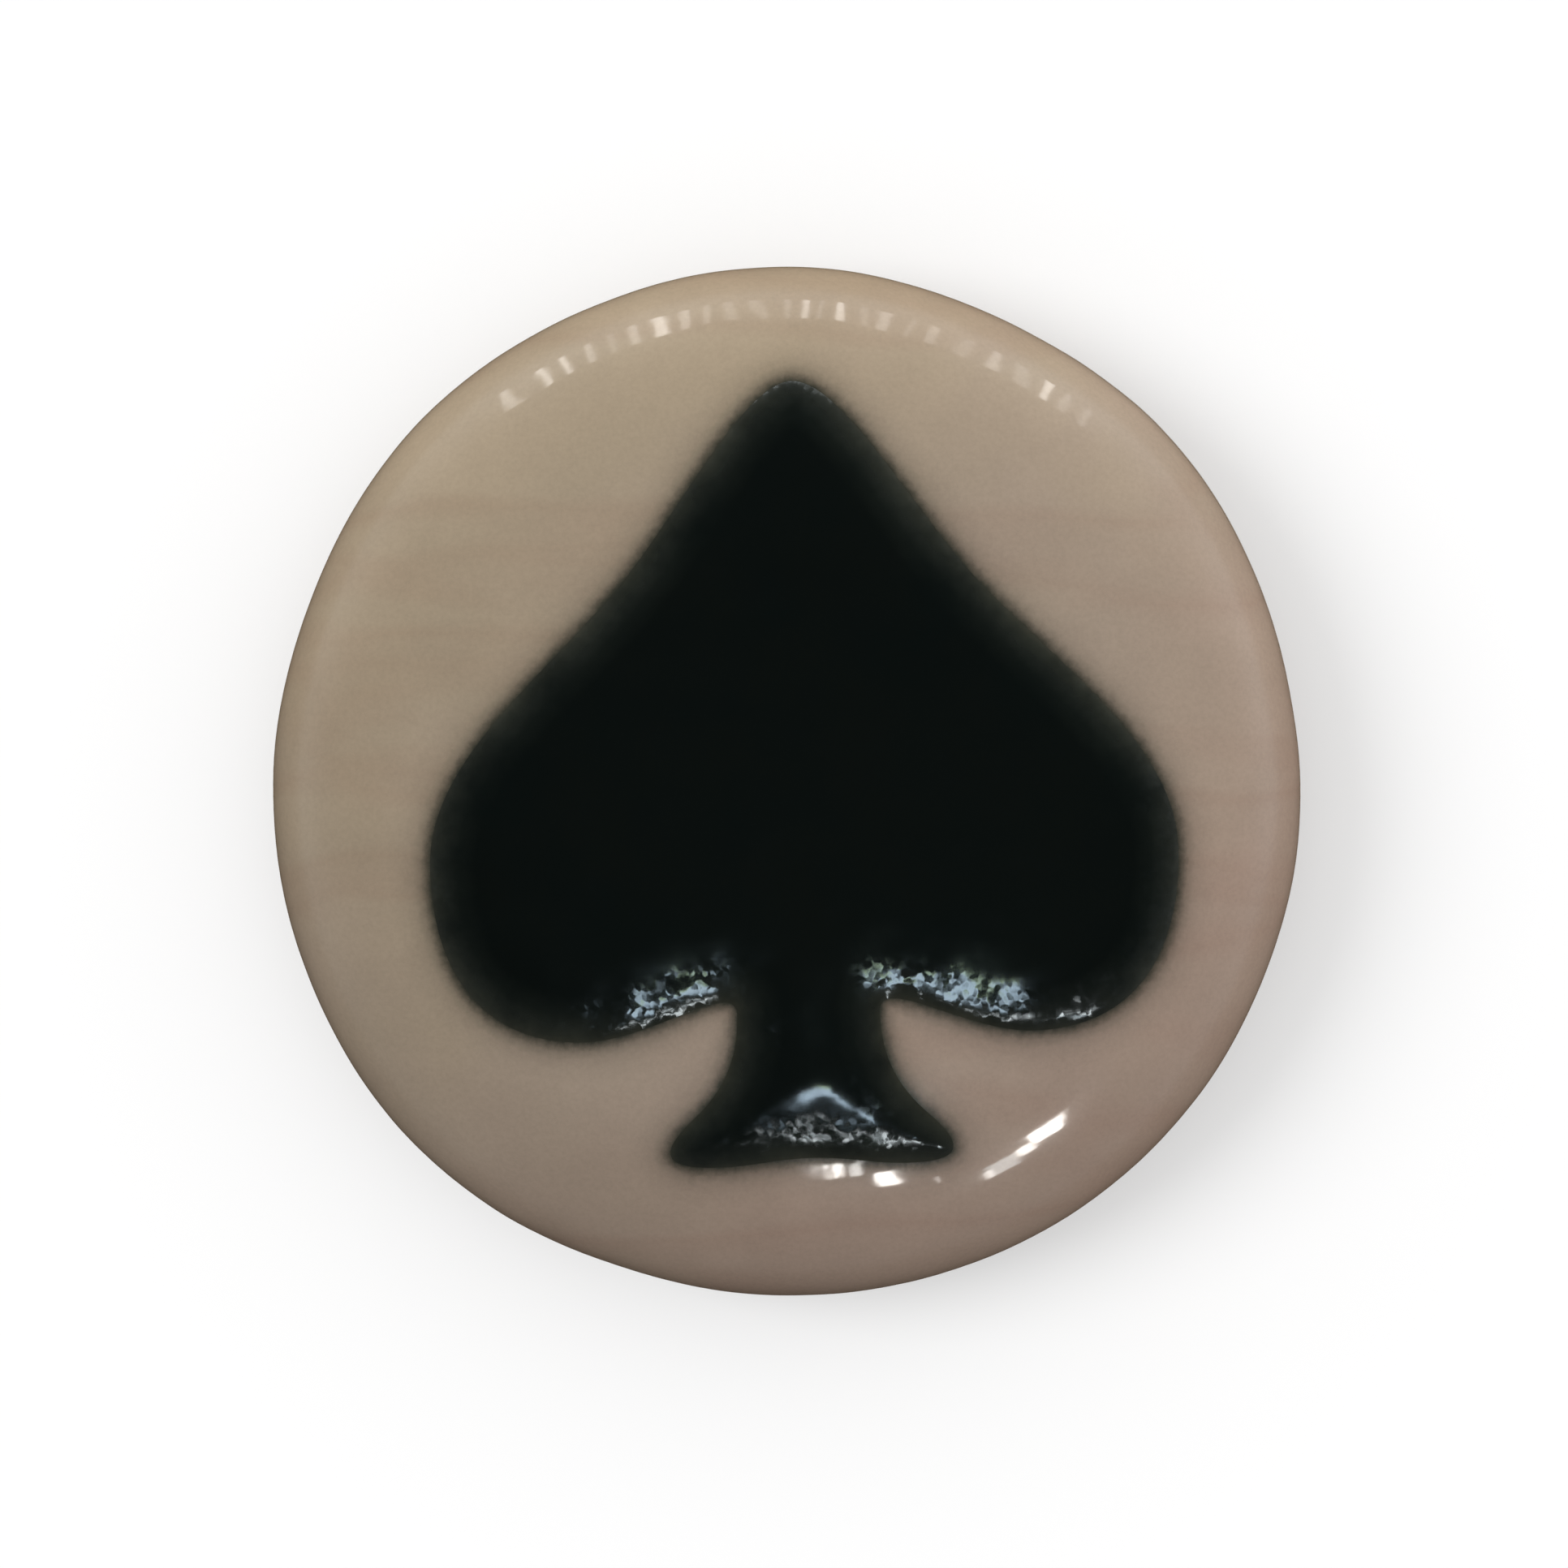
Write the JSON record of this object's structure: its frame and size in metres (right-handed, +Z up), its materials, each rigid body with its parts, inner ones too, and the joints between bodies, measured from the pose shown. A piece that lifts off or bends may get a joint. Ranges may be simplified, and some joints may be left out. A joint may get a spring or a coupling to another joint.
{
  "type": "dealer button",
  "caption": "Round, slightly domed dealer button of glazed pottery: a clay body with a bare foot, a pale gloss glaze coat and a raised black spade mark.",
  "frame": {"origin": "middle of the bare foot, on the table", "axes": "+Z up out of the marked face, +Y towards the spade's tip, +X to the spade's right as it is read"},
  "size_m": [0.04, 0.04, 0.0089],
  "materials": {
    "fired_clay": "bare fired clay, matt and slightly gritty",
    "beige_glaze": "opaque warm beige gloss glaze, faintly mottled and streaked",
    "black_glaze": "thick black gloss glaze with a greenish cast and a fine crystalline surface"
  },
  "bodies": {
    "root": {"clay_body": "fired_clay", "glaze_coat": "beige_glaze", "face_mark": "black_glaze"}
  },
  "joints": []
}
